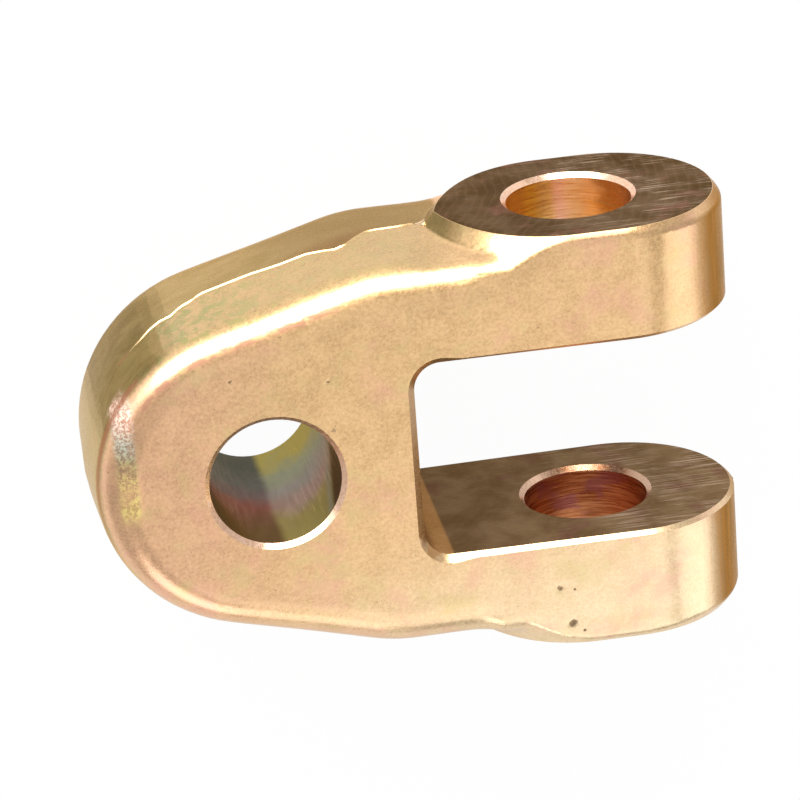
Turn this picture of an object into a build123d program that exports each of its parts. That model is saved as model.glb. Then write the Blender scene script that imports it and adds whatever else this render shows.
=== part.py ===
from build123d import *
import math
import os

# A clevis rod end: one drop-forged piece with a cross bore in its round nose and a fork of two ears.
# It lies on its back face. The origin is on the axis of the ear bores, halfway between the ears and
# halfway through their thickness. +X runs from the nose to the open end of the fork, +Y is the axis
# of the ear bores, and +Z is the axis of the cross bore. All sizes are in millimetres.

# Overall sizes
BODY_T = 36.5          # thickness over the two flat faces
PAD_SPAN = 68.0        # width over the two milled pads
EAR_REACH = 23.7       # ear bore axis to the rounded ends of the ears
NOSE_REACH = 78.55     # ear bore axis to the tip of the nose

# Bores
PIN_BORE_D = 19.5      # through both ears
CROSS_BORE_D = 20.4    # through the nose
CENTRES = 50.8         # distance between the two bore axes
BORE_CHAMFER = 0.75

# Side outline of the forging, at the parting plane
NOSE_R = 25.65         # radius of the round nose
SHOULDER = 34.2        # ear bore axis back to the corner between a flank and the parallel part
SHOULDER_R = 27.5      # rounding of that corner

# Die draft, edge radii and parting line
DRAFT = 2.6            # draft of the outer wall, degrees
SIDE_R = 3.6           # edge radius along the flanks, the shoulders and the parallel part
NOSE_EDGE_R = 6.0      # edge radius round the nose
EDGE_TAPER = 12.0      # length of flank over which one edge radius turns into the other
LAND_H = 0.3           # height of the ridge the trimmed flash leaves
LAND_W = 1.1           # width of that ridge
LAND_FOOT = 0.06       # height of its sides where they leave the wall

# Milled pads on the outer sides of the ears
PAD_RISE = 2.2         # height of a pad above the parallel part behind it
PAD_EDGE = 0.8         # how far a flat face stands past the side of a pad
PAD_END = 1.25         # how far the end of an ear stands past the end of a pad
PAD_FULL = 2.0         # ear bore axis back to where a pad reaches its full width
PAD_POINT = 1.7        # how far the point of a pad stands past the half circle at its full width
PAD_POINT_R = 1.5      # rounding of that point
PAD_SIDE_R = 26.6      # curved sides that lead to that point
PAD_SLOPE = 38.0       # lean of the boss side under a pad, degrees from square to the pad
PAD_DEPTH = 10.0       # depth of the boss under a pad
BOSS_R = 1.8           # blend at the foot of the boss, and rounding of its outer edge

# Slot
GAP = 32.0             # clear width between the ears
SLOT_DEPTH = 28.5      # ear bore axis to the floor of the slot
SLOT_CORNER_R = 4.2    # corners of the slot floor
SLOT_EDGE = 1.1        # chamfer all round the slot

half_t = BODY_T / 2
half_gap = GAP / 2
pad_y = PAD_SPAN / 2
pad_half = half_t - PAD_EDGE
half_w = pad_y - PAD_RISE
lean = math.radians(DRAFT)
up = Vector(0, 0, 1)
square_out = Vector(0, 1, 0)

# A straight flank runs from the corner of the parallel part to touch the round nose.
to_corner = Vector(NOSE_REACH - NOSE_R - SHOULDER, half_w)
touch = math.degrees(math.acos(NOSE_R / to_corner.length))
flank_slope = math.degrees(math.atan2(to_corner.Y, to_corner.X)) + touch - 90
flank_out = square_out.rotate(Axis.Z, flank_slope)
flank_along = Vector(1, 0, 0).rotate(Axis.Z, flank_slope)


def corners(side_out=0.0, nose_out=0.0):
    """Nose centre, nose radius, and the ends of the nose arc, the flank and the shoulder arc.

    The sides of the outline can be moved outward by one distance and the tip of its nose by another.
    """
    reach = NOSE_R + flank_along.Y * (NOSE_REACH - NOSE_R) + side_out
    tip = -NOSE_REACH - nose_out
    radius = (reach + flank_along.Y * tip) / (1 - flank_along.Y)
    centre = Vector(tip + radius, 0)
    top = half_w + side_out
    crossing = Vector((flank_along.X * top - reach) / flank_along.Y, top)
    tangent = (SHOULDER_R + side_out) * math.tan(math.radians(flank_slope) / 2)
    arc_end = centre + flank_out * radius
    return centre, radius, arc_end, crossing - flank_along * tangent, crossing + Vector(tangent, 0)


def arc(centre, start, end):
    """The shorter arc from start to end round this centre."""
    outward = (start - centre).normalized() + (end - centre).normalized()
    return ThreePointArc(start, centre + outward.normalized() * (start - centre).length, end)


def across(point):
    """The same point on the other side of the X axis."""
    return Vector(point.X, -point.Y)


def section(point, out, depth, radius):
    """Upper half of the forging's section square to its outline: drafted wall, round edge, flat top."""
    rise = half_t - radius
    inward = (radius + rise * math.sin(lean)) / math.cos(lean)
    middle = math.radians(45 + DRAFT / 2)
    wall_top = (radius * math.cos(lean) - inward, rise + radius * math.sin(lean))
    edge_middle = (radius * math.cos(middle) - inward, rise + radius * math.sin(middle))
    line = Wire(
        [
            Line((-depth, 0), (0, 0)),
            Line((0, 0), wall_top),
            ThreePointArc(wall_top, edge_middle, (-inward, half_t)),
            Line((-inward, half_t), (-depth, half_t)),
            Line((-depth, half_t), (-depth, 0)),
        ]
    )
    return Plane(origin=point, x_dir=out, z_dir=out.cross(up)) * Face(line)


# The head of the forging: the upper half of the nose, a flank and a shoulder, then their mirror images.
nose_centre, nose_r, nose_end, flank_end, shoulder_end = corners()
shoulder_centre = shoulder_end - square_out * SHOULDER_R
taper_end = nose_end + flank_along * EDGE_TAPER
nose_section = section(nose_end, flank_out, nose_r, NOSE_EDGE_R)
nose = revolve(nose_section, Axis(nose_centre, up), 180 - 2 * flank_slope)
flank_section = section(taper_end, flank_out, nose_r, SIDE_R)
taper = loft([nose_section, flank_section], ruled=True)
flank = extrude(flank_section, (flank_end - taper_end).length)
shoulder = revolve(
    section(shoulder_end, square_out, SHOULDER_R, SIDE_R), Axis(shoulder_centre, up), flank_slope
)
core_inset = SHOULDER_R / 2
core_line = Polyline(
    nose_centre,
    flank_end - flank_out * core_inset,
    shoulder_end - square_out * core_inset,
    Vector(shoulder_end.X, 0),
    close=True,
)
core = extrude(make_face(core_line), half_t)
side = taper + flank + shoulder + core
head = nose + side + mirror(side, Plane.XZ)
head += mirror(head, Plane.XY)

# One half of the parallel part behind the ears. It ends inside the ear, well past the foot of the
# boss.
body_end = -PAD_FULL - pad_half / 2
straight_section = section(shoulder_end, square_out, half_w, SIDE_R)
straight = extrude(straight_section, body_end - shoulder_end.X)
straight += mirror(straight, Plane.XY)

# The milled pads: pointed toward the nose, and full round at the ends of the ears.
pad_centre = Vector(-PAD_FULL, 0)
point_reach = pad_half + PAD_POINT
pad_point = pad_centre - Vector(point_reach, 0)
between = PAD_SIDE_R - pad_half
side_x = (PAD_SIDE_R**2 - between**2 - point_reach**2) / (2 * point_reach)
side_centre = pad_centre + Vector(side_x, -math.sqrt(between**2 - side_x**2))
pad_join = pad_centre + (pad_centre - side_centre).normalized() * pad_half
full_width = pad_centre + Vector(0, pad_half)
pad_end = Vector(EAR_REACH - PAD_END - pad_half, pad_half)
pad_line = Wire(
    [
        arc(side_centre, pad_point, pad_join),
        arc(pad_centre, pad_join, full_width),
        Line(full_width, pad_end),
        ThreePointArc(pad_end, (pad_end.X + pad_half, 0), across(pad_end)),
        Line(across(pad_end), across(full_width)),
        arc(pad_centre, across(full_width), across(pad_join)),
        arc(across(side_centre), across(pad_join), pad_point),
    ]
)
ear_plane = Plane(origin=(0, 0, 0), x_dir=(1, 0, 0), z_dir=(0, 1, 0))
pad_plan = Sketch() + Face(pad_line)
pad_plan = fillet(pad_plan.vertices().sort_by(Axis.X)[0], PAD_POINT_R)
pad = Pos(0, pad_y, 0) * (ear_plane * pad_plan)

# One ear: a full-round tongue as thick as the body, and under its pad a boss that leans outward on
# its way down. The tongue starts where the leaning boss is already inside the body, on the parallel
# part.
pad_slope = math.tan(math.radians(PAD_SLOPE))
flat_edge = half_w - (SIDE_R + (half_t - SIDE_R) * math.sin(lean)) / math.cos(lean)
end_x = EAR_REACH - half_t
root_x = max(pad_point.X - (pad_y - flat_edge) * pad_slope, shoulder_end.X)
tongue_plan = Pos((root_x + end_x) / 2, 0) * Rectangle(end_x - root_x, BODY_T)
tongue_plan += Pos(end_x, 0) * Circle(half_t)
tongue = extrude(ear_plane * tongue_plan, pad_y)
boss = extrude(pad, PAD_DEPTH, dir=(0, -1, 0), taper=-PAD_SLOPE)
ear = (tongue & boss) + extrude(ear_plane * tongue_plan, pad_y - PAD_DEPTH)
half_fork = straight + ear

# Blend the foot of the boss into the body, and round the boss where it meets the outer faces.
foot_edges = new_edges(straight, ear, combined=half_fork)


def is_boss_edge(edge):
    """True for an edge between the leaning side of a boss and the outer faces of an ear."""
    middle = edge @ 0.5
    past = max(middle.X - end_x, 0)
    on_face = abs(math.hypot(past, middle.Z) - half_t) < 0.01
    return on_face and flat_edge + 0.1 < middle.Y < pad_y - 0.01


boss_edges = half_fork.edges().filter_by(is_boss_edge)
half_fork = fillet(list(foot_edges) + list(boss_edges), BOSS_R)
blank = head + half_fork + mirror(half_fork, Plane.XZ)

# The slot, with its edges broken.
slot_end = EAR_REACH + half_t
slot_plan = Pos((slot_end - SLOT_DEPTH) / 2, 0) * Rectangle(slot_end + SLOT_DEPTH, GAP)
slot_plan = fillet(slot_plan.vertices().sort_by(Axis.X)[:2], SLOT_CORNER_R)
slot = extrude(slot_plan, BODY_T, both=True)
forging = blank - slot
forging = chamfer(new_edges(blank, slot, combined=forging), SLOT_EDGE)


# The land that the trimmed flash leaves on the parting plane: along the flanks to the foot of each
# boss, dying out round the nose, and across the rounded ends of the ears.
land_centre, land_r, land_start, land_low, land_high = corners(LAND_H, -LAND_H / 10)
land_end = Vector(pad_point.X - PAD_RISE * pad_slope - BOSS_R, land_high.Y)
land_line = Wire(
    [
        arc(land_centre, across(land_start), land_start),
        Line(land_start, land_low),
        arc(shoulder_centre, land_low, land_high),
        Line(land_high, land_end),
        Line(land_end, across(land_end)),
        Line(across(land_end), across(land_high)),
        arc(across(shoulder_centre), across(land_high), across(land_low)),
        Line(across(land_low), across(land_start)),
    ]
)
land_lean = math.degrees(math.atan(2 * (LAND_H - LAND_FOOT) / LAND_W))
land = extrude(Face(land_line), LAND_W / 2, taper=land_lean)
land += mirror(land, Plane.XY)
ear_land_line = Polyline(
    (EAR_REACH - LAND_H, -LAND_W),
    (EAR_REACH + LAND_H, 0),
    (EAR_REACH - LAND_H, LAND_W),
    close=True,
)
ear_land_low = half_gap + SLOT_EDGE
ear_land_high = pad_y - PAD_END / pad_slope - BOSS_R
ear_land = extrude(ear_plane * make_face(ear_land_line), ear_land_high - ear_land_low)
ear_land = Pos(0, ear_land_low, 0) * ear_land
forging = forging + ear_land + mirror(ear_land, Plane.XZ) + land - slot


# The bores, chamfered wherever they break through a face.
def mouth(radius, height):
    """Chamfer tool for a bore along Z that opens upward at this height."""
    tool = Cone(radius - BORE_CHAMFER, radius + 2 * BORE_CHAMFER, 3 * BORE_CHAMFER)
    return Pos(0, 0, height - BORE_CHAMFER / 2) * tool


pin_r = PIN_BORE_D / 2
cross_r = CROSS_BORE_D / 2
ear_mouths = mouth(pin_r, pad_y) + mirror(mouth(pin_r, -half_gap), Plane.XY)
ear_bore = Cylinder(pin_r, 2 * PAD_SPAN) + ear_mouths + mirror(ear_mouths, Plane.XY)
cross_mouth = mouth(cross_r, half_t)
cross_bore = Cylinder(cross_r, 2 * BODY_T) + cross_mouth + mirror(cross_mouth, Plane.XY)
clevis = forging - ear_plane * ear_bore - Pos(-CENTRES, 0, 0) * cross_bore

os.makedirs("parts", exist_ok=True)
export_step(clevis, "parts/clevis.step")
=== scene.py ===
import math

import bmesh
import bpy
from mathutils import Euler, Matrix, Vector, noise


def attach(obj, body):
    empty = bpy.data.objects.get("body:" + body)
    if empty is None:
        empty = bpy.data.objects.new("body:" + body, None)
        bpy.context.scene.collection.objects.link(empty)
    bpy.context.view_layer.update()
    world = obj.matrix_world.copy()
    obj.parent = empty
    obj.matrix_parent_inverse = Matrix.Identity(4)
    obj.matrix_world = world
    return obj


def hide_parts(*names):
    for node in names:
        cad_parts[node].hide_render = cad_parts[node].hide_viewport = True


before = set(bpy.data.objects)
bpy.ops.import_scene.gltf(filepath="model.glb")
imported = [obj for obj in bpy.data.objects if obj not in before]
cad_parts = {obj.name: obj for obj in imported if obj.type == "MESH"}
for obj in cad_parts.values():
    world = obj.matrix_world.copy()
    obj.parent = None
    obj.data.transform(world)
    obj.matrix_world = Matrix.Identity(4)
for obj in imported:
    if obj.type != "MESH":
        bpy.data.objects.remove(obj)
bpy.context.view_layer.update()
scene = bpy.context.scene
scene.view_settings.view_transform = "Standard"

# ---------------------------------------------------------------------------------------------
# Camera. It stands far off with a long lens, above the fork and to the side of the upper ear,
# and looks down on the face of the forging that the cross bore goes through.
CAMERA_PLACE = (-0.11612, 0.27496, 0.64869)
CAMERA_TURN = (-21.932, -9.317, -4.009)  # degrees about X, then Y, then Z
CAMERA_LENS = 204.23                     # millimetres, on a 36 mm sensor

camera_data = bpy.data.cameras.new("camera")
camera_data.sensor_width = 36
camera_data.lens = CAMERA_LENS
camera_data.clip_start = 0.01
camera = bpy.data.objects.new("camera", camera_data)
camera.location = CAMERA_PLACE
camera.rotation_euler = Euler([math.radians(turn) for turn in CAMERA_TURN], "XYZ")
scene.collection.objects.link(camera)
scene.camera = camera

# ---------------------------------------------------------------------------------------------
# The forging. One piece of steel, drop forged, bored, milled on the pads and in the slot, and
# then zinc plated and yellow passivated. Its shape is the CAD solid's, merged into one mesh, and
# each face gets the finish that its last operation left.
PAD_Y = 0.0340          # the milled pads, out from the middle of the fork
CHEEK_Y = 0.0160        # the cheeks of the slot
SLOT_FLOOR_X = -0.0285
SLOT_EDGE = 0.0011      # legs of the broken slot edge
SLOT_CORNER = 0.0042    # corners of the slot floor
FACE_Z = 0.01825        # the two flat faces, and the radius of the round ear ends
EAR_END_X = 0.00545     # where the ears turn round
PIN_BORE_R = 0.00975
CROSS_BORE_X = -0.0508
CROSS_BORE_R = 0.0102
BORE_MOUTH = 0.00112    # radial reach of a bore's chamfer
SHARP_ANGLE = math.radians(24)
DRAFT = math.radians(2.6)
NOSE_X = -0.0529        # centre of the round nose
NOSE_R = 0.02565
SHOULDER_X = -0.0342    # the corner between a flank and the parallel part, rounded
SHOULDER_R = 0.0275
PARALLEL_Y = 0.0318     # outer side of the parallel part
LAND_REACH = 0.0006     # half the width of the straight land, a little over
# The trimmed flash wanders along each flank: its place along X, and its height over the middle.
NEAR_FLASH = (
    (-0.0785, 0.0068), (-0.0760, 0.0066), (-0.0720, 0.0040), (-0.0700, 0.0043),
    (-0.0683, 0.0039), (-0.0666, 0.0031), (-0.0649, 0.0028), (-0.0633, 0.0032),
    (-0.0616, 0.0019), (-0.0599, 0.0014), (-0.0581, 0.0002), (-0.0570, 0.0001),
    (-0.0500, 0.0001), (-0.0479, 0.0005), (-0.0455, 0.0008), (-0.0416, 0.0008),
    (-0.0393, 0.0018), (-0.0372, 0.0031), (-0.0355, 0.0026), (-0.0336, 0.0009),
    (-0.0318, -0.0005), (-0.0300, -0.0008), (-0.0280, -0.0009), (-0.0261, -0.0011),
    (-0.0240, -0.0017), (-0.0232, -0.0020),
)
FAR_FLASH = (
    (-0.0785, 0.0068), (-0.0750, 0.0048), (-0.0700, 0.0022), (-0.0662, 0.0010),
    (-0.0620, 0.0014), (-0.0588, -0.0006), (-0.0540, -0.0002), (-0.0505, 0.0012),
    (-0.0470, 0.0009), (-0.0430, -0.0008), (-0.0392, -0.0003), (-0.0355, 0.0016),
    (-0.0320, 0.0006), (-0.0280, -0.0004), (-0.0232, 0.0003),
)
# Section of the flash step: height over the parting line, and how far the skin stands out there.
STEP_SECTION = (
    (-0.0060, 0.0), (-0.0006, -0.00006), (-0.00018, -0.00004), (-0.00008, 0.00022),
    (0.00002, 0.00027), (0.00026, 0.00008), (0.0007, 0.00003), (0.0050, 0.0),
)
FLASH_END = -0.0236     # it ends at the foot of each boss


def new_material(name):
    """A material with its node tree, its Principled BSDF and its Object coordinates."""
    material = bpy.data.materials.new(name)
    material.use_nodes = True
    tree = material.node_tree
    skin = tree.nodes["Principled BSDF"]
    place = tree.nodes.new("ShaderNodeTexCoord").outputs["Object"]
    return material, tree, skin, place


def plug(tree, value, socket):
    """Links a socket, or sets a number, vector or colour."""
    if isinstance(value, bpy.types.NodeSocket):
        tree.links.new(value, socket)
    elif isinstance(value, tuple) and len(value) == 3 and len(socket.default_value) == 4:
        socket.default_value = (*value, 1)
    else:
        socket.default_value = value


def compute(tree, operation, first, second=0.0, held=False):
    """One maths node on two numbers or sockets, held between 0 and 1 if asked."""
    node = tree.nodes.new("ShaderNodeMath")
    node.operation = operation
    node.use_clamp = held
    plug(tree, first, node.inputs[0])
    plug(tree, second, node.inputs[1])
    return node.outputs[0]


def product(tree, *factors):
    """Several numbers or sockets multiplied together."""
    result = factors[0]
    for factor in factors[1:]:
        result = compute(tree, "MULTIPLY", result, factor)
    return result


def noise_field(tree, vector, size, detail=2.0, roughness=0.5, distortion=0.0):
    """A noise whose lumps are about this size, in metres."""
    field = tree.nodes.new("ShaderNodeTexNoise")
    field.inputs["Scale"].default_value = 1 / size
    field.inputs["Detail"].default_value = detail
    field.inputs["Roughness"].default_value = roughness
    field.inputs["Distortion"].default_value = distortion
    plug(tree, vector, field.inputs["Vector"])
    return field.outputs["Fac"]


def moved(tree, vector, shift=(0, 0, 0), turn=(0, 0, 0), stretch=(1, 1, 1)):
    """The pattern's coordinates, shifted in metres, turned in degrees and stretched."""
    node = tree.nodes.new("ShaderNodeMapping")
    node.inputs["Location"].default_value = shift
    node.inputs["Rotation"].default_value = [math.radians(angle) for angle in turn]
    node.inputs["Scale"].default_value = stretch
    plug(tree, vector, node.inputs["Vector"])
    return node.outputs["Vector"]


def spread(tree, value, low, high, to_low=0.0, to_high=1.0):
    """The value's range from low to high, eased onto another range and held there."""
    node = tree.nodes.new("ShaderNodeMapRange")
    node.interpolation_type = "SMOOTHSTEP"
    plug(tree, value, node.inputs["Value"])
    ends = {"From Min": low, "From Max": high, "To Min": to_low, "To Max": to_high}
    for name, number in ends.items():
        plug(tree, number, node.inputs[name])
    return node.outputs["Result"]


def between(tree, value, start, full, fading, end):
    """1 where the value is between full and fading, eased to 0 at start and at end."""
    return product(tree, spread(tree, value, start, full), spread(tree, value, end, fading))


def tinted(tree, amount, under, over, how="MIX"):
    """Lays one colour over another. Each is a colour or a socket."""
    node = tree.nodes.new("ShaderNodeMix")
    node.data_type = "RGBA"
    node.blend_type = how
    plug(tree, amount, node.inputs[0])
    plug(tree, under, node.inputs[6])
    plug(tree, over, node.inputs[7])
    return node.outputs[2]


def along(tree, vector):
    """The X, Y and Z of a vector."""
    node = tree.nodes.new("ShaderNodeSeparateXYZ")
    plug(tree, vector, node.inputs[0])
    return node.outputs[0], node.outputs[1], node.outputs[2]


def graded(tree, value, stops):
    """Colours along a value from 0 to 1: each stop is a place and a colour."""
    node = tree.nodes.new("ShaderNodeValToRGB")
    ramp = node.color_ramp
    ramp.interpolation = "EASE"
    while len(ramp.elements) < len(stops):
        ramp.elements.new(1)
    for element, (stop, colour) in zip(ramp.elements, stops):
        element.position = stop
        element.color = (*colour, 1)
    plug(tree, value, node.inputs["Fac"])
    return node.outputs["Color"]


def add_bump(tree, skin, height, depth):
    """Feeds a height from 0 to 1 into the shader's normal, at this depth in metres."""
    bump = tree.nodes.new("ShaderNodeBump")
    bump.inputs["Distance"].default_value = depth
    bump.inputs["Strength"].default_value = 1.0
    plug(tree, height, bump.inputs["Height"])
    tree.links.new(bump.outputs["Normal"], skin.inputs["Normal"])


# Sandy grain: the coarse skin that the dies leave, as two scales of height in one value.
sand = bpy.data.node_groups.new("sandy_grain", "ShaderNodeTree")
sand.interface.new_socket("Place", in_out="INPUT", socket_type="NodeSocketVector")
sand.interface.new_socket("Height", in_out="OUTPUT", socket_type="NodeSocketFloat")
sand.interface.new_socket("Fleck", in_out="OUTPUT", socket_type="NodeSocketFloat")
given = sand.nodes.new("NodeGroupInput").outputs
fine = noise_field(sand, given["Place"], 0.00042, 2.0, 0.55, 0.2)
lumps = noise_field(sand, moved(sand, given["Place"], (0.05, 0.02, 0.01)), 0.0013, 3.0, 0.6, 0.4)
sand_height = compute(sand, "ADD", product(sand, fine, 0.4), product(sand, lumps, 0.6))
sand_fleck = spread(sand, noise_field(sand, given["Place"], 0.00055, 3.0, 0.75, 0.2), 0.34, 0.66)
out = sand.nodes.new("NodeGroupOutput").inputs
sand.links.new(sand_height, out["Height"])
sand.links.new(sand_fleck, out["Fleck"])


def sandy_grain(tree, place):
    """Places the sandy grain in a material: its height, and flecks of colour of the same scale."""
    node = tree.nodes.new("ShaderNodeGroup")
    node.node_tree = sand
    plug(tree, place, node.inputs["Place"])
    return node.outputs["Height"], node.outputs["Fleck"]


# The forged skin: straw gold, rosier toward the nose, and paler toward the lower ear.
forged, tree, skin, place = new_material("forged_skin")
skin.inputs["Metallic"].default_value = 0.9
skin.inputs["Specular Tint"].default_value = (0.92, 0.72, 0.47, 1)
skin.inputs["Coat Roughness"].default_value = 0.19
skin.inputs["Coat IOR"].default_value = 1.8
x, y, z = along(tree, place)
geometry = tree.nodes.new("ShaderNodeNewGeometry")
facing_x, _, facing_z = along(tree, geometry.outputs["Normal"])
height, fleck = sandy_grain(tree, place)
mottle = noise_field(tree, moved(tree, place, (0.0, 0.3, 0.1)), 0.0042, 3.0, 0.6, 0.4)
blotch = spread(tree, mottle, 0.34, 0.66)
fleck = compute(tree, "ADD", product(tree, fleck, 0.65), product(tree, blotch, 0.35))
straw = tinted(tree, fleck, (0.56, 0.325, 0.125), (0.79, 0.50, 0.225))
paler = spread(tree, compute(tree, "SUBTRACT", product(tree, x, 0.35), y), -0.005, 0.035)
straw = tinted(tree, paler, straw, tinted(tree, fleck, (0.68, 0.49, 0.27), (0.84, 0.65, 0.40)))
nose_rose = spread(tree, x, -0.042, -0.068, 0.0, 0.75)
straw = tinted(tree, nose_rose, straw, tinted(tree, fleck, (0.60, 0.32, 0.170), (0.80, 0.45, 0.25)))
# soft clouds of rose and olive in the yellow film
rose_clouds = noise_field(tree, place, 0.010, 3.0, 0.6, 0.3)
olive_clouds = noise_field(tree, moved(tree, place, (0.3, 0.1, 0.2)), 0.006, 3.0, 0.6, 0.3)
rose_cover = product(tree, spread(tree, rose_clouds, 0.48, 0.70), 0.55)
olive_cover = product(tree, spread(tree, olive_clouds, 0.50, 0.72), 0.45)
skin_colour = tinted(tree, rose_cover, straw, (0.73, 0.35, 0.235))
skin_colour = tinted(tree, olive_cover, skin_colour, (0.58, 0.45, 0.16))
# flanks: yellow green flecks in front of the flash, olive brown behind it
side_on = spread(tree, compute(tree, "ABSOLUTE", facing_z), 0.25, 0.60, 1.0, 0.0)
moss = spread(tree, noise_field(tree, place, 0.0024, 3.0, 0.7, 0.5), 0.44, 0.62)
moss = product(tree, moss, side_on, spread(tree, x, -0.040, -0.060, 0.5, 0.95))
moss = product(tree, moss, spread(tree, x, -0.022, -0.030))
moss_green = tinted(tree, spread(tree, x, -0.045, -0.062), (0.47, 0.38, 0.12), (0.33, 0.31, 0.075))
front_wall = product(tree, side_on, spread(tree, x, -0.018, -0.026))
wall_gold = tinted(tree, fleck, (0.48, 0.295, 0.105), (0.65, 0.43, 0.175))
skin_colour = tinted(tree, front_wall, skin_colour, wall_gold)
skin_colour = tinted(tree, moss, skin_colour, moss_green)
behind_flash = tree.nodes.new("ShaderNodeAttribute")
behind_flash.attribute_name = "behind_flash"
behind = spread(tree, behind_flash.outputs["Fac"], 0.2, 0.8)
# on the foot of the upper boss the flash line climbs on to the point of the pad
past_foot = compute(tree, "ADD", x, 0.0240)
over_line = compute(tree, "ADD", z, product(tree, past_foot, 0.52))
behind_here = spread(tree, over_line, -0.0016, -0.0018)
on_foot = spread(tree, x, -0.0242, -0.0236)
behind = tinted(tree, on_foot, behind, behind_here)
behind_ears = spread(tree, x, -0.0200, -0.0185, 1.0, 0.0)
back_wall = product(tree, behind, side_on, behind_ears)
umber_bands = noise_field(tree, moved(tree, place, stretch=(0.5, 1, 1)), 0.0045, 3.0, 0.6, 0.4)
umber_bands = spread(tree, umber_bands, 0.30, 0.70)
wall_brown = tinted(tree, umber_bands, (0.37, 0.27, 0.125), (0.47, 0.36, 0.185))
toward_ear = spread(tree, x, -0.060, -0.034, 0.0, 0.7)
wall_brown = tinted(tree, toward_ear, wall_brown, (0.25, 0.168, 0.080))
close_behind = product(tree, spread(tree, z, -0.0040, 0.0005), spread(tree, x, -0.048, -0.040))
wall_brown = tinted(tree, product(tree, close_behind, 0.6), wall_brown, (0.24, 0.12, 0.055))
skin_colour = tinted(tree, back_wall, skin_colour, wall_brown)
# painted highlight: a pale line along the flash line where it climbs the boss foot
flash_highlight_line = between(tree, over_line, -0.0018, -0.0016, -0.0015, -0.0013)
flash_highlight_line = product(tree, flash_highlight_line, on_foot, spread(tree, x, -0.0195, -0.0200))
flash_highlight_line = product(tree, flash_highlight_line, spread(tree, y, 0.030, 0.031))
skin_colour = tinted(tree, flash_highlight_line, skin_colour, (0.92, 0.76, 0.56))
# the wall of the nose is olive brown like the back wall, darkened further over its whole height as painted
# shade, with a paler painted reflection where it faces straight out along X and painted light toward
# negative Y
nose_wall = product(tree, spread(tree, facing_x, -0.36, -0.62), side_on)
nose_shade_and_reflection = tinted(tree, umber_bands, (0.115, 0.082, 0.027), (0.205, 0.155, 0.062))
nose_shade_and_reflection = tinted(tree, spread(tree, facing_x, -0.88, -0.97), nose_shade_and_reflection, (0.44, 0.36, 0.21))
nose_shade_and_reflection = tinted(tree, spread(tree, y, -0.002, -0.014), nose_shade_and_reflection, (0.66, 0.41, 0.20))
skin_colour = tinted(tree, product(tree, nose_wall, 0.92), skin_colour, nose_shade_and_reflection)
# a rough purple brown strip of painted shade runs along the inner side of the round upper edge
ragged = noise_field(tree, place, 0.0022, 3.0, 0.75, 0.6)
inner = compute(tree, "ADD", facing_z, product(tree, compute(tree, "SUBTRACT", ragged, 0.5), 0.10))
shade_seam = between(tree, inner, 0.775, 0.80, 0.86, 0.905)
upper_side = product(tree, spread(tree, y, 0.004, 0.010), spread(tree, x, -0.030, -0.044))
shade_seam = product(tree, shade_seam, upper_side, spread(tree, z, 0.0, 0.001))
shade_seam = product(tree, shade_seam, spread(tree, noise_field(tree, place, 0.0035, 2.0, 0.6), 0.34, 0.52))
skin_colour = tinted(tree, product(tree, shade_seam, 0.8), skin_colour, (0.32, 0.145, 0.085))
# speckles down the round edge of the nose: pink, then grey green, then yellow green; the pale pink white
# specks near the top are a painted highlight where the edge's highlight breaks up
PATCH_X = -0.0729
specks = noise_field(tree, moved(tree, place, (0.2, 0.4, 0.0)), 0.00060, 3.0, 0.85)
patch = compute(tree, "ADD", -PATCH_X, product(tree, specks, 0.0006))
patch = compute(tree, "ABSOLUTE", compute(tree, "ADD", x, patch))
patch = product(tree, spread(tree, patch, 0.0010, 0.0021, 1.0, 0.0), spread(tree, z, 0.010, 0.012))
patch = product(tree, patch, between(tree, y, -0.0050, -0.0015, 0.0140, 0.0165))
down = spread(tree, y, 0.0150, -0.0030)
dark_speck = graded(tree, down, (
    (0.0, (0.48, 0.22, 0.16)), (0.30, (0.24, 0.20, 0.14)),
    (0.60, (0.26, 0.16, 0.07)), (0.95, (0.52, 0.34, 0.12)),
))
pale_speck = graded(tree, down, (
    (0.0, (0.92, 0.72, 0.60)), (0.28, (0.50, 0.54, 0.45)),
    (0.52, (0.48, 0.42, 0.17)), (0.80, (0.80, 0.66, 0.20)),
))
patch_colour = tinted(tree, spread(tree, specks, 0.44, 0.56), dark_speck, pale_speck)
patch_cover = product(tree, patch, spread(tree, mottle, 0.36, 0.56, 0.35, 0.85))
skin_colour = tinted(tree, patch_cover, skin_colour, patch_colour)
# painted shade: a dark red brown line low on the round edge of the nose
nose_shade_line = between(tree, facing_z, 0.16, 0.26, 0.34, 0.46)
nose_shade_line = product(tree, nose_shade_line, spread(tree, x, -0.0690, -0.0715), spread(tree, y, -0.008, 0.0))
skin_colour = tinted(tree, product(tree, nose_shade_line, 0.75), skin_colour, (0.33, 0.13, 0.07))
# the round end of each ear: orange brown at its far side, where it turns away from the light, as painted
# shade over upright streaks
upright = noise_field(tree, moved(tree, place, stretch=(1, 0.06, 1)), 0.0009, 3.0, 0.65)
ear_end = spread(tree, compute(tree, "ADD", facing_x, product(tree, upright, 0.12)), 0.57, 0.88)
ear_end = product(tree, ear_end, spread(tree, x, 0.012, 0.016))
orange_brown = tinted(tree, spread(tree, upright, 0.30, 0.70), (0.22, 0.088, 0.010), (0.36, 0.150, 0.024))
skin_colour = tinted(tree, ear_end, skin_colour, orange_brown)
# painted shade: brown orange down the floor side of the slot's round edge
floor_edge_shade = product(tree, spread(tree, facing_x, 0.45, 0.80), spread(tree, x, -0.0270, -0.0280))
floor_edge_shade = product(tree, floor_edge_shade, spread(tree, compute(tree, "ABSOLUTE", y), 0.0175, 0.0165))
skin_colour = tinted(tree, product(tree, floor_edge_shade, 0.9), skin_colour, (0.30, 0.15, 0.05))
pit = tree.nodes.new("ShaderNodeAttribute")
pit.attribute_name = "pit"
in_pit = spread(tree, pit.outputs["Fac"], 0.15, 0.7, 0.0, 0.85)
skin_colour = tinted(tree, in_pit, skin_colour, (0.20, 0.11, 0.03))
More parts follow.
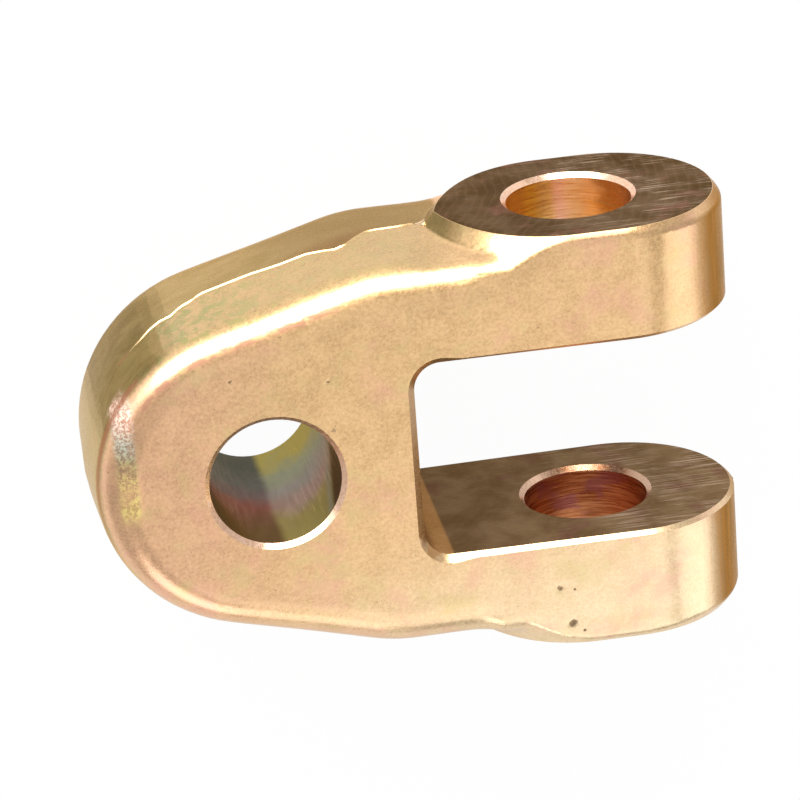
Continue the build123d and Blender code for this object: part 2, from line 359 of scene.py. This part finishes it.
# small dark specks here and there
dark_specks = spread(tree, noise_field(tree, place, 0.0014, 2.0, 0.5), 0.735, 0.765)
skin_colour = tinted(tree, product(tree, dark_specks, 0.6), skin_colour, (0.20, 0.12, 0.05))
tree.links.new(skin_colour, skin.inputs["Base Color"])
rough = spread(tree, fleck, 0.0, 1.0, 0.26, 0.33)
rough = compute(tree, "ADD", rough, product(tree, compute(tree, "ADD", shade_seam, patch), 0.22))
tree.links.new(rough, skin.inputs["Roughness"])
# the coat is thinner on the painted shade of the ear ends and the nose wall, and on the olive back walls
thinner_coat = compute(tree, "MAXIMUM", compute(tree, "MAXIMUM", ear_end, back_wall), nose_wall)
plug(tree, spread(tree, thinner_coat, 0.0, 1.0, 0.80, 0.08), skin.inputs["Coat Weight"])
relief = compute(tree, "ADD", height, product(tree, specks, patch, 2.5))
add_bump(tree, skin, relief, 0.000035)

# The milled faces: a brown film over the cutter's marks, darkened as painted shade most of all on the
# pads, with bright scratches toward the ear's end.
milled, tree, skin, place = new_material("milled_face")
skin.inputs["Metallic"].default_value = 0.9
skin.inputs["Specular Tint"].default_value = (0.62, 0.47, 0.33, 1)
x, y, z = along(tree, place)
on_pads = spread(tree, compute(tree, "ABSOLUTE", y), 0.030, 0.033)
drift = noise_field(tree, place, 0.008, 3.0, 0.6, 0.4)
# painted shade: the film is darkened to a dark umber on the pads and a dark olive on the cheeks, for the
# dark reflection these faces show
umber = tinted(tree, spread(tree, drift, 0.35, 0.68), (0.072, 0.050, 0.036), (0.150, 0.106, 0.076))
olive = tinted(tree, spread(tree, drift, 0.35, 0.68), (0.185, 0.120, 0.066), (0.300, 0.208, 0.124))
film_and_painted_light = tinted(tree, on_pads, olive, umber)
plum = spread(tree, noise_field(tree, moved(tree, place, (0.1, 0.0, 0.3)), 0.006, 2.0, 0.5), 0.54, 0.68)
film_and_painted_light = tinted(tree, product(tree, plum, 0.55), film_and_painted_light, (0.22, 0.105, 0.090))
swing = tree.nodes.new("ShaderNodeTexWave")
swing.wave_type = "RINGS"
swing.rings_direction = "Y"
swing.inputs["Scale"].default_value = 210
swing.inputs["Distortion"].default_value = 4.0
swing.inputs["Detail"].default_value = 3.0
swing.inputs["Detail Scale"].default_value = 1.5
plug(tree, moved(tree, place, (0.045, 0, 0.012)), swing.inputs["Vector"])
arcs = spread(tree, swing.outputs["Fac"], 0.60, 1.0)
across_marks = moved(tree, place, turn=(0, 6, 0), stretch=(0.028, 1, 1))
scratches = noise_field(tree, across_marks, 0.00034, 3.0, 0.65)
scratch_zone = spread(tree, noise_field(tree, place, 0.006, 2.0, 0.5), 0.36, 0.54)
scratched = product(tree, spread(tree, scratches, 0.50, 0.68), scratch_zone)
away = compute(tree, "ADD", x, product(tree, compute(tree, "ABSOLUTE", z), 0.45))
toward_end = spread(tree, away, -0.004, 0.012, 0.06, 1.0)
film_and_painted_light = tinted(tree, product(tree, arcs, 0.13), film_and_painted_light, (0.30, 0.20, 0.13))
bright = product(tree, scratched, toward_end, 0.8)
film_and_painted_light = tinted(tree, bright, film_and_painted_light, (0.70, 0.54, 0.42))
slot_floor = between(tree, x, -0.0300, -0.0290, -0.0244, -0.0238)
floor_orange = tinted(tree, drift, (0.42, 0.21, 0.075), (0.70, 0.42, 0.20))
film_and_painted_light = tinted(tree, slot_floor, film_and_painted_light, floor_orange)
tree.links.new(film_and_painted_light, skin.inputs["Base Color"])
plug(tree, spread(tree, scratches, 0.3, 0.7, 0.24, 0.38), skin.inputs["Roughness"])
cutter_marks = compute(tree, "ADD", product(tree, scratches, 0.6), product(tree, arcs, 0.3))
add_bump(tree, skin, cutter_marks, 0.00003)

# The bored walls: orange gold with fine rings in the ear bores. In the cross bore a film whose colours
# change from top to bottom, under a painted dark reflection down one side, a painted pale highlight streak
# and painted shade beyond it.
bored, tree, skin, place = new_material("bored_wall")
skin.inputs["Metallic"].default_value = 0.95
skin.inputs["Specular Tint"].default_value = (0.85, 0.68, 0.52, 1)
x, y, z = along(tree, place)
in_cross = spread(tree, x, -0.030, -0.034)
in_upper = spread(tree, y, 0.005, 0.012)
rings = noise_field(tree, moved(tree, place, stretch=(0.06, 1, 0.06)), 0.00032, 3.0, 0.6)
bands = noise_field(tree, moved(tree, place, stretch=(0.5, 1, 0.5)), 0.0028, 2.0, 0.5)
uneven = product(tree, compute(tree, "SUBTRACT", bands, 0.5), 0.25)
across_bore = compute(tree, "ADD", spread(tree, x, -0.0097, 0.0097), uneven)
around = graded(tree, across_bore, (
    (0.04, (0.90, 0.50, 0.10)), (0.18, (1.0, 0.66, 0.10)), (0.36, (1.0, 0.72, 0.26)),
    (0.50, (1.0, 0.66, 0.50)), (0.66, (1.0, 0.70, 0.44)), (0.84, (1.0, 0.62, 0.32)),
    (0.97, (0.50, 0.27, 0.11)),
))
gold = tinted(tree, spread(tree, rings, 0.30, 0.62, 0.30, 0.0), around, (0.62, 0.27, 0.05))
orange_brown = tinted(tree, spread(tree, rings, 0.38, 0.62), (0.40, 0.15, 0.055), (0.64, 0.29, 0.13))
wine = product(tree, spread(tree, bands, 0.52, 0.66), 0.6)
orange_brown = tinted(tree, wine, orange_brown, (0.36, 0.13, 0.17))
orange = tinted(tree, in_upper, orange_brown, gold)
sway = compute(tree, "SUBTRACT", noise_field(tree, place, 0.006, 2.0, 0.5, 0.5), 0.5)
sway = product(tree, sway, 0.30)
depth_in = compute(tree, "ADD", spread(tree, z, -0.018, 0.018), sway)
across = compute(tree, "DIVIDE", compute(tree, "SUBTRACT", x, CROSS_BORE_X), CROSS_BORE_R)
edge_of_dark = compute(tree, "ADD", across, product(tree, sway, 0.4))
# painted reflection: one side of the cross bore dark, the other light, each with the film's colours
# changing with depth
dark_side = graded(tree, depth_in, (
    (0.05, (0.14, 0.17, 0.15)), (0.28, (0.20, 0.22, 0.215)), (0.48, (0.28, 0.21, 0.225)),
    (0.70, (0.44, 0.17, 0.15)), (0.95, (0.26, 0.16, 0.08)),
))
light_side = graded(tree, depth_in, (
    (0.05, (0.72, 0.62, 0.18)), (0.26, (0.52, 0.56, 0.40)), (0.46, (0.54, 0.50, 0.46)),
    (0.68, (0.68, 0.48, 0.42)), (0.93, (0.60, 0.50, 0.18)),
))
cross_film_and_reflection = tinted(tree, spread(tree, edge_of_dark, -0.03, 0.14), dark_side, light_side)
# painted highlight: a pale upright streak, with painted shade, dark brown, beyond it
upright_line = compute(tree, "ADD", across, product(tree, z, 10.9))
highlight_streak = product(tree, between(tree, upright_line, 0.92, 0.98, 1.00, 1.05), 0.6)
cross_film_and_reflection = tinted(tree, highlight_streak, cross_film_and_reflection, (0.62, 0.60, 0.50))
far_shade = product(tree, spread(tree, upright_line, 1.01, 1.07), 0.9)
cross_film_and_reflection = tinted(tree, far_shade, cross_film_and_reflection, (0.18, 0.085, 0.055))
film_and_painted_light = tinted(tree, in_cross, orange, cross_film_and_reflection)
tree.links.new(film_and_painted_light, skin.inputs["Base Color"])
plug(tree, spread(tree, rings, 0.3, 0.7, 0.26, 0.40), skin.inputs["Roughness"])
add_bump(tree, skin, rings, 0.00002)

# Broken edges: bright pale gold.
broken, tree, skin, place = new_material("broken_edge")
skin.inputs["Metallic"].default_value = 0.85
height, fleck = sandy_grain(tree, place)
pale_gold = tinted(tree, fleck, (0.76, 0.47, 0.31), (0.88, 0.60, 0.44))
tree.links.new(pale_gold, skin.inputs["Base Color"])
plug(tree, spread(tree, fleck, 0.0, 1.0, 0.20, 0.28), skin.inputs["Roughness"])

forging_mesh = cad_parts["clevis"].data.copy()
forging_mesh.name = "forging"
forging = bpy.data.objects.new("forging", forging_mesh)
scene.collection.objects.link(forging)
forging_mesh.materials.clear()
for finish in (forged, milled, bored, broken):
    forging_mesh.materials.append(finish)
for leftover in ("custom_normal", "sharp_edge", "sharp_face"):
    if leftover in forging_mesh.attributes:
        forging_mesh.attributes.remove(forging_mesh.attributes[leftover])

shape = bmesh.new()
shape.from_mesh(forging_mesh)
bmesh.ops.remove_doubles(shape, verts=shape.verts, dist=1e-6)

# The straight land gives way to a flash step that wanders.
flank_reach = math.hypot(NOSE_X - SHOULDER_X, PARALLEL_Y)
flank_turn = math.atan2(PARALLEL_Y, SHOULDER_X - NOSE_X) + math.acos(NOSE_R / flank_reach)
flank_out = Vector((math.cos(flank_turn), math.sin(flank_turn), 0))
shoulder_half = SHOULDER_R * math.tan((flank_turn - math.pi / 2) / 2)
shoulder_centre = Vector((SHOULDER_X + shoulder_half, PARALLEL_Y - SHOULDER_R, 0))
nose_end = NOSE_X + flank_out.x * NOSE_R
flank_end = shoulder_centre.x + flank_out.x * SHOULDER_R


def wall_place(corner):
    """How far a corner lies outside the side outline, and which way is outward there."""
    flat = Vector((corner.x, abs(corner.y), 0))
    if flat.x < nose_end:
        arm = flat - Vector((NOSE_X, 0, 0))
        gap, out = arm.length - NOSE_R, arm.normalized()
    elif flat.x < flank_end:
        gap, out = (flat - Vector((NOSE_X, 0, 0))).dot(flank_out) - NOSE_R, flank_out.copy()
    elif flat.x < shoulder_centre.x:
        arm = flat - shoulder_centre
        gap, out = arm.length - SHOULDER_R, arm.normalized()
    else:
        gap, out = flat.y - PARALLEL_Y, Vector((0, 1, 0))
    if corner.y < 0:
        out.y = -out.y
    return gap, out


def read_off(table, reach):
    """The second number of a table of pairs, read between its rows by the first."""
    if reach <= table[0][0]:
        return table[0][1]
    for (low, at_low), (high, at_high) in zip(table, table[1:]):
        if reach <= high:
            return at_low + (at_high - at_low) * (reach - low) / (high - low)
    return table[-1][1]


def eased(value, low, high):
    """0 at low, 1 at high, and smooth between."""
    part = min(max((value - low) / (high - low), 0), 1)
    return part * part * (3 - 2 * part)


for corner in shape.verts:
    place = corner.co
    if abs(place.z) < LAND_REACH and place.x < FLASH_END + 0.0012:
        gap, out = wall_place(place)
        if abs(gap) < 0.0005:
            place -= out * (gap + abs(place.z) * math.tan(DRAFT))
slivers = [
    face for face in shape.faces
    if max(abs(corner.co.z) for corner in face.verts) < LAND_REACH
    and 2 * face.calc_area() < 0.00001 * max(edge.calc_length() for edge in face.edges)
]
long_sides = dict.fromkeys(max(face.edges, key=lambda edge: edge.calc_length()) for face in slivers)
bmesh.ops.dissolve_edges(shape, edges=list(long_sides), use_verts=True)
bmesh.ops.dissolve_degenerate(shape, dist=0.00001, edges=shape.edges)
shape.normal_update()
bmesh.ops.dissolve_limit(shape, angle_limit=math.radians(0.1), verts=shape.verts, edges=shape.edges)


def on_flank(face):
    """True for a face of the drafted side wall, from the nose to the foot of each boss."""
    middle = face.calc_center_median()
    nearest = min(corner.co.x for corner in face.verts)
    if abs(face.normal.z) > 0.2 or abs(middle.z) > 0.0155 or nearest > FLASH_END - 0.0002:
        return False
    return abs(wall_place(middle)[0]) < 0.0012


def cut_up(faces, cuts):
    """Cuts these faces along planes, each a point and a direction, and returns all the pieces.

    Everything is kept in the mesh's own order, so that each run gives the same mesh.
    """
    for point, square in cuts:
        corners = dict.fromkeys(corner for face in faces for corner in face.verts)
        edges = dict.fromkeys(edge for face in faces for edge in face.edges)
        cut = bmesh.ops.bisect_plane(
            shape, geom=[*faces, *edges, *corners], dist=1e-6, plane_co=point, plane_no=square
        )
        pieces = [part for part in cut["geom"] if isinstance(part, bmesh.types.BMFace)]
        faces = list(dict.fromkeys(faces + pieces))
    return faces


CUT_STEP = 0.0006
station = NOSE_X - NOSE_R + 0.0004
cuts = [(Vector((0, 0, height)), Vector((0, 0, 1))) for height, out in STEP_SECTION]
while station < FLASH_END:
    cuts.append((Vector((station, 0, 0)), Vector((1, 0, 0))))
    station += CUT_STEP
wall = cut_up([face for face in shape.faces if on_flank(face)], cuts)
in_wall = set(wall)
behind_layer = shape.verts.layers.float.new("behind_flash")
on_wall = {
    corner for face in wall for corner in face.verts
    if corner.co.x < FLASH_END - 0.002
    or (corner.co.x < FLASH_END and in_wall.issuperset(corner.link_faces))
}
for corner in shape.verts:
    place = corner.co
    height = place.z
    if corner in on_wall:
        gap, out = wall_place(place)
        line = read_off(NEAR_FLASH if place.y > 0 else FAR_FLASH, place.x)
        follow = 1 - eased(abs(height), 0.001, 0.009)
        strength = 1 - eased(place.x, -0.0248, FLASH_END)
        strength *= 0.1 + 0.9 * eased(place.x, -0.0760, -0.0640)
        strength *= eased(place.x, -0.0783, -0.0770)
        moved_to = height + line * follow * eased(place.x, -0.0786, -0.0780)
        drafted = (abs(moved_to) - abs(height)) * math.tan(DRAFT)
        corner.co = place + out * (read_off(STEP_SECTION, height) * strength - drafted)
        corner.co.z = moved_to
    if place.x < FLASH_END + 0.0045 and height < -0.0001:
        corner[behind_layer] = 1.0
shape.normal_update()


# The round edges along the flanks are worn fuller than they were drawn.
EDGE_R = 0.0060         # edge radius drawn round the nose
SIDE_R = 0.0036         # edge radius drawn along the flanks
EDGE_TAPER = 0.0120     # reach along X over which one turns into the other
WORN_MORE = 0.0006      # the worn radius is larger than EDGE_R by this
WORN_FROM_X, WORN_TO_X = -0.0620, -0.0165
EDGE_FOOT_Z = 0.0112    # the worn edge starts no lower than this
LEAN_TURN = math.pi / 2 - DRAFT    # from square to the wall to square to the face


def edge_section(radius):
    """How far in, and how high, the centre of a round edge of this radius lies."""
    rise = FACE_Z - radius
    return (radius + rise * math.sin(DRAFT)) / math.cos(DRAFT), rise


def fuller(place):
    """Where a corner on the round edge of a flank, or close beside it, moves to."""
    gap, out = wall_place(place)
    foot_x = place.x - out.x * gap
    drawn = EDGE_R - (EDGE_R - SIDE_R) * min(max((foot_x - nose_end) / EDGE_TAPER, 0), 1)
    full = EDGE_R + WORN_MORE * eased(foot_x, nose_end, -0.045)
    full = drawn + (full - drawn) * (1 - eased(foot_x, WORN_TO_X - 0.0040, WORN_TO_X))
    inward, rise = edge_section(drawn)
    height = abs(place.z)
    wall_top = rise + drawn * math.sin(DRAFT)
    if height > FACE_Z - 1e-5:
        reach = drawn * LEAN_TURN / 2 - gap - inward
    elif height < wall_top:
        reach = -drawn * LEAN_TURN / 2 - (wall_top - height) / math.cos(DRAFT)
        if abs(gap + height * math.tan(DRAFT)) > 0.0002:
            return place
    else:
        if abs(math.hypot(gap + inward, height - rise) - drawn) > 0.0002:
            return place
        reach = drawn * (math.atan2(height - rise, gap + inward) - DRAFT - LEAN_TURN / 2)
    limit = (full - drawn) * math.tan(LEAN_TURN / 2) + drawn * LEAN_TURN / 2
    if full - drawn < 1e-6 or abs(reach) > limit:
        return place
    turn = DRAFT + LEAN_TURN / 2 * (1 + reach / limit)
    inward, rise = edge_section(full)
    moved_to = place + out * (full * math.cos(turn) - inward - gap)
    moved_to.z = math.copysign(rise + full * math.sin(turn), place.z)
    return moved_to


def beside_edge(face):
    """True for a face of the round edge of a flank or beside it."""
    corners = [corner.co for corner in face.verts]
    low_x, high_x = min(place.x for place in corners), max(place.x for place in corners)
    low_z, high_z = (limit(abs(place.z) for place in corners) for limit in (min, max))
    in_reach = low_x < WORN_TO_X and high_x > WORN_FROM_X and high_z > EDGE_FOOT_Z
    on_outside = max(wall_place(place)[0] for place in corners) > -0.0085
    return in_reach and on_outside and low_z > 0.0045


cuts = [(Vector((-0.0616 + 0.0008 * step, 0, 0)), Vector((1, 0, 0))) for step in range(57)]
for side in (-1, 1):
    cuts += [(Vector((0, side * (0.0140 + 0.0008 * step), 0)), Vector((0, 1, 0))) for step in range(22)]
    cuts += [(Vector((0, 0, side * (0.0115 + 0.0006 * step))), Vector((0, 0, 1))) for step in range(6)]
edge_faces = cut_up([face for face in shape.faces if beside_edge(face)], cuts)
for corner in dict.fromkeys(corner for face in edge_faces for corner in face.verts):
    place = corner.co.copy()
    in_length = WORN_FROM_X - 0.0020 < place.x < WORN_TO_X + 0.0005
    clear_of_bore = math.hypot(place.x - CROSS_BORE_X, place.y) > CROSS_BORE_R + 0.0015
    if in_length and clear_of_bore and abs(place.z) > EDGE_FOOT_Z:
        corner.co = fuller(place)
shape.normal_update()


# Small pits in the upper face, mostly in the lower ear: place along X and Y, reach and depth.
PITS = (
    (-0.0081, -0.0237, 0.00060, 0.00016), (-0.0058, -0.0242, 0.00026, 0.00008),
    (-0.0063, -0.0300, 0.00078, 0.00030), (-0.0046, -0.0314, 0.00030, 0.00010),
    (-0.0417, 0.0155, 0.00030, 0.00008), (-0.0565, 0.0175, 0.00036, 0.00006),
)
PIT_CUTS = 10


def under_square(face, low, high):
    """True for a piece of the upper face that reaches into the square between two corners."""
    corners = [corner.co for corner in face.verts]
    in_square = all(
        max(place[axis] for place in corners) >= low[axis] + 1e-7
        and min(place[axis] for place in corners) <= high[axis] - 1e-7
        for axis in (0, 1)
    )
    return in_square and min(place.z for place in corners) > FACE_Z - 1e-5


pit_layer = shape.verts.layers.float.new("pit")
for pit_x, pit_y, reach, depth in PITS:
    low, high = Vector((pit_x - reach, pit_y - reach)), Vector((pit_x + reach, pit_y + reach))
    for share in (0, 1, *(step / PIT_CUTS for step in range(1, PIT_CUTS))):
        line = low.lerp(high, share)
        for cut in (
            (Vector((line.x, 0, 0)), Vector((1, 0, 0))), (Vector((0, line.y, 0)), Vector((0, 1, 0))),
        ):
            cut_up([face for face in shape.faces if under_square(face, low, high)], [cut])
    for corner in shape.verts:
        away = math.hypot(corner.co.x - pit_x, corner.co.y - pit_y) / reach
        if corner.co.z > FACE_Z - 1e-5 and away < 1:
            sunk = (1 - away ** 2) * max(0.75 + 1.1 * noise.noise(corner.co * 2600), 0)
            corner.co.z -= depth * sunk
            corner[pit_layer] = min(sunk * 1.6, 1)


# The dies blend each boss, its foot and the round edge beside it into one smooth swell, within
# a box round the boss's foot: along X, and out from the middle along Y and Z.
SWELL_FROM_X, SWELL_TO_X = -0.0290, -0.0070
SWELL_Y = 0.0225
SWELL_Z = 0.0100


def in_swell(place, margin):
    """True inside one of those boxes, less a margin on each side."""
    along_ear = SWELL_FROM_X + margin < place.x < SWELL_TO_X - margin
    across_ear = SWELL_Y + margin < abs(place.y) < PAD_Y - 1e-5
    return along_ear and across_ear and abs(place.z) > SWELL_Z + margin


def touches_swell(face):
    """True for a face of the forged skin that reaches into one of those boxes."""
    low_x, high_x = (limit(corner.co.x for corner in face.verts) for limit in (min, max))
    high_y = max(abs(corner.co.y) for corner in face.verts)
    high_z = max(abs(corner.co.z) for corner in face.verts)
    on_cheek = high_y < CHEEK_Y + SLOT_EDGE + 1e-5
    on_pad = min(abs(corner.co.y) for corner in face.verts) > PAD_Y - 1e-5
    in_length = low_x < SWELL_TO_X and high_x > SWELL_FROM_X
    return in_length and high_y > SWELL_Y and high_z > SWELL_Z and not on_cheek and not on_pad


swell = [face for face in shape.faces if touches_swell(face)]
cuts = [(Vector((SWELL_FROM_X + CUT_STEP * step, 0, 0)), Vector((1, 0, 0))) for step in range(38)]
for side in (-1, 1):
    heights = [side * (SWELL_Z + CUT_STEP * step) for step in range(14)]
    cuts += [(Vector((0, side * (SWELL_Y + CUT_STEP * step), 0)), Vector((0, 1, 0))) for step in range(19)]
    cuts += [(Vector((0, 0, height)), Vector((0, 0, 1))) for height in heights]
cut_up(swell, cuts)
for margin, rounds in ((0.0, 12), (0.0015, 20), (0.0030, 24)):
    loose = [corner for corner in shape.verts if in_swell(corner.co, margin)]
    for turn in range(rounds):
        bmesh.ops.smooth_vert(
            shape, verts=loose, factor=0.5, use_axis_x=True, use_axis_y=True, use_axis_z=True
        )
shape.normal_update()


def beside_slot(corner):
    """True for a corner on one of the two lines that bound the broken edge of the slot."""
    past = max(corner.x - EAR_END_X, 0)
    reach = math.hypot(past, corner.z)
    in_width = abs(corner.y) < CHEEK_Y + SLOT_EDGE + 1e-5
    return in_width and corner.x > SLOT_FLOOR_X - SLOT_EDGE - 1e-5 and reach > FACE_Z - SLOT_EDGE - 1e-4


def beside_ear_land(corner):
    """True for a corner on the land across the round end of an ear."""
    return corner.x > EAR_END_X + FACE_Z - 0.0004 and abs(corner.z) < 0.0016


slot_lines = [
    edge for edge in shape.edges
    if all(beside_slot(corner.co) for corner in edge.verts)
    and math.radians(30) < edge.calc_face_angle() < math.radians(60)
    and not any(beside_ear_land(corner.co) for corner in edge.verts)
]
bmesh.ops.bevel(
    shape, geom=slot_lines, offset=0.00068, offset_type="OFFSET", affect="EDGES", segments=4,
    profile=0.5, material=-1, clamp_overlap=True,
)
# Beside the cheeks the broken edge is finer than it was drawn; beside the floor it keeps its width.
FINER = 0.42            # the share of its width that goes
straight_end = SLOT_FLOOR_X + SLOT_CORNER
for corner in shape.verts:
    place = corner.co
    if place.x > straight_end - 1e-5 and CHEEK_Y - 1e-5 < abs(place.y) < CHEEK_Y + 1.4 * SLOT_EDGE:
        past = max(place.x - EAR_END_X, 0)
        reach = math.hypot(past, place.z)
        if FACE_Z - 1.4 * SLOT_EDGE < reach < FACE_Z + 1e-5:
            share = 1 - FINER * eased(place.x, straight_end, straight_end + 0.004)
            new_y = CHEEK_Y + (abs(place.y) - CHEEK_Y) * share
            new_reach = FACE_Z - (FACE_Z - reach) * share
            place.y = math.copysign(new_y, place.y)
            if past > 0:
                place.x = EAR_END_X + past * new_reach / reach
            place.z *= new_reach / reach
rim_lines = [
    edge for edge in shape.edges
    if all(abs(corner.co.y) > PAD_Y - 1e-5 for corner in edge.verts)
    and edge.calc_face_angle() > math.radians(20)
    and min(math.hypot(corner.co.x, corner.co.z) for corner in edge.verts) > PIN_BORE_R + BORE_MOUTH
]
bmesh.ops.bevel(
    shape, geom=rim_lines, offset=0.00012, offset_type="OFFSET", affect="EDGES", segments=2,
    profile=0.5, material=-1, clamp_overlap=True,
)
for face in shape.faces:
    corners = [corner.co for corner in face.verts]
    pin_reach = max(math.hypot(corner.x, corner.z) for corner in corners)
    cross_reach = max(math.hypot(corner.x - CROSS_BORE_X, corner.y) for corner in corners)
    on_pad = all(abs(corner.y) > PAD_Y - 1e-5 for corner in corners)
    in_slot = all(corner.x > SLOT_FLOOR_X - 1e-5 for corner in corners)
    on_cheek = in_slot and all(abs(corner.y) < CHEEK_Y + 1e-5 for corner in corners)
    if pin_reach < PIN_BORE_R + 2e-5 or cross_reach < CROSS_BORE_R + 2e-5:
        face.material_index = 2
    elif pin_reach < PIN_BORE_R + BORE_MOUTH or cross_reach < CROSS_BORE_R + BORE_MOUTH:
        face.material_index = 3
    elif on_pad or on_cheek:
        face.material_index = 1
    else:
        face.material_index = 0
    face.smooth = True
for edge in shape.edges:
    in_pit = any(corner[pit_layer] > 0 for corner in edge.verts)
    edge.smooth = len(edge.link_faces) == 2 and (in_pit or edge.calc_face_angle() < SHARP_ANGLE)
shape.to_mesh(forging_mesh)
shape.free()
even_shading = forging.modifiers.new("even_shading", "WEIGHTED_NORMAL")
even_shading.keep_sharp = True
even_shading.weight = 100
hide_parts("clevis")
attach(forging, "root")

# ---------------------------------------------------------------------------------------------
# Floor. A pale sheet under the forging. The eye and the metal see it white, and it keeps a
# light shadow.
FLOOR_SIZE = 6.0
WHITE_TO_EYE = 0.97     # how much of the floor's look is its own white, straight to the eye
WHITE_TO_METAL = 0.45   # and in the metal

floor_mesh = bpy.data.meshes.new("floor")
floor = bpy.data.objects.new("floor", floor_mesh)
scene.collection.objects.link(floor)
sheet = bmesh.new()
bmesh.ops.create_grid(sheet, x_segments=1, y_segments=1, size=FLOOR_SIZE / 2)
bmesh.ops.translate(sheet, vec=(0, 0, -FACE_Z), verts=sheet.verts)
sheet.to_mesh(floor_mesh)
sheet.free()
paper = bpy.data.materials.new("paper")
paper.use_nodes = True
tree = paper.node_tree
tree.nodes.remove(tree.nodes["Principled BSDF"])
matt = tree.nodes.new("ShaderNodeBsdfDiffuse")
matt.inputs["Color"].default_value = (0.85, 0.85, 0.85, 1)
glow = tree.nodes.new("ShaderNodeEmission")
glow.inputs["Color"].default_value = (1, 1, 1, 1)
glow.inputs["Strength"].default_value = 1.0
seen = tree.nodes.new("ShaderNodeLightPath")
to_eye = compute(tree, "MULTIPLY", seen.outputs["Is Camera Ray"], WHITE_TO_EYE)
to_metal = compute(tree, "MAXIMUM", seen.outputs["Is Glossy Ray"], seen.outputs["Is Transmission Ray"])
share = compute(tree, "MAXIMUM", to_eye, compute(tree, "MULTIPLY", to_metal, WHITE_TO_METAL))
both = tree.nodes.new("ShaderNodeMixShader")
tree.links.new(share, both.inputs[0])
tree.links.new(matt.outputs[0], both.inputs[1])
tree.links.new(glow.outputs[0], both.inputs[2])
tree.links.new(both.outputs[0], tree.nodes["Material Output"].inputs["Surface"])
floor_mesh.materials.append(paper)

# ---------------------------------------------------------------------------------------------
# Light. A pale room, one large soft lamp beyond the upper ear, and five weaker ones round about.
WORLD_LEVEL = 0.60
room = bpy.data.worlds.new("room")
scene.world = room
room.use_nodes = True
tree = room.node_tree
air = tree.nodes["Background"]
air.inputs["Color"].default_value = (1, 1, 1, 1)
seen = tree.nodes.new("ShaderNodeLightPath")
level = spread(tree, seen.outputs["Is Camera Ray"], 0, 1, WORLD_LEVEL, 1.0)
tree.links.new(level, air.inputs["Strength"])


def soft_lamp(name, towards, distance, width, height, power):
    """A soft box in this direction from the forging, turned to face it."""
    data = bpy.data.lights.new(name, "AREA")
    data.shape = "RECTANGLE"
    data.size = width
    data.size_y = height
    data.energy = power
    lamp = bpy.data.objects.new(name, data)
    aim = Vector(towards).normalized()
    lamp.location = aim * distance + Vector((-0.027, 0, 0))
    lamp.rotation_euler = aim.to_track_quat("Z", "Y").to_euler()
    scene.collection.objects.link(lamp)


soft_lamp("key_lamp", (-0.25, 0.92, 0.32), 0.9, 1.15, 0.58, 17.0)
soft_lamp("end_lamp", (0.84, -0.36, 0.34), 1.0, 0.40, 0.70, 1.15)
soft_lamp("low_lamp", (-0.30, -0.87, 0.40), 0.8, 0.46, 0.40, 1.15)
soft_lamp("side_lamp", (-0.80, 0.58, 0.25), 0.9, 0.50, 0.36, 1.1)
soft_lamp("near_lamp", (0.30, -0.64, 0.71), 0.7, 0.50, 0.50, 0.80)
soft_lamp("top_lamp", (0.10, 0.10, 0.98), 0.9, 0.80, 0.70, 0.7)
